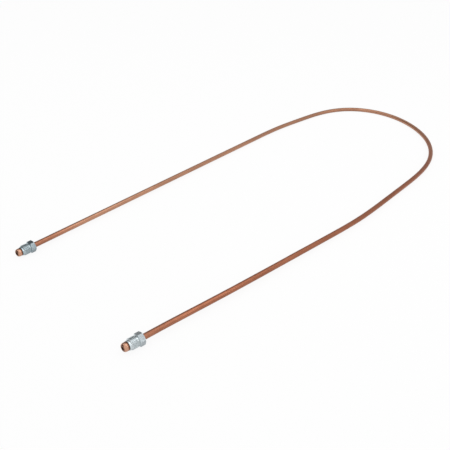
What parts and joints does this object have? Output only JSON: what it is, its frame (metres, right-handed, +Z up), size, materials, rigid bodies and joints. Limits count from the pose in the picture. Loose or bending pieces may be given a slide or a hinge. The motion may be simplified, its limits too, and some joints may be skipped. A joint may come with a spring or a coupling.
{
  "type": "brake line",
  "caption": "Rigid copper brake pipe bent into a wide U, with a bubble flare and a captive plated tube nut at each end.",
  "frame": {"origin": "centre of the bounding box at its lowest level, in the open space of the U, on the surface that the line lies on", "axes": "+X along the legs towards the closed bend of the U, +Y from the near leg to the far leg, +Z up from the surface that the line lies on"},
  "size_m": [0.5252, 0.2066, 0.0109],
  "materials": {
    "copper": "drawn copper tube, slightly tarnished",
    "zinc_plate": "bright zinc plate on turned steel"
  },
  "bodies": {
    "pipe": {"brake_pipe": "copper"},
    "near_nut": {"near_nut": "zinc_plate"},
    "far_nut": {"far_nut": "zinc_plate"}
  },
  "joints": [
    {"name": "near_nut_turn", "type": "hinge", "parent": "pipe", "child": "near_nut", "pos_m": [-0.24555, -0.08481, 0.00547], "axis": [-0.9978, 0.0658, 0.0049], "continuous": true},
    {"name": "far_nut_turn", "type": "hinge", "parent": "pipe", "child": "far_nut", "pos_m": [-0.23981, 0.07819, 0.00486], "axis": [-0.9978, -0.0657, 0.0054], "continuous": true}
  ]
}
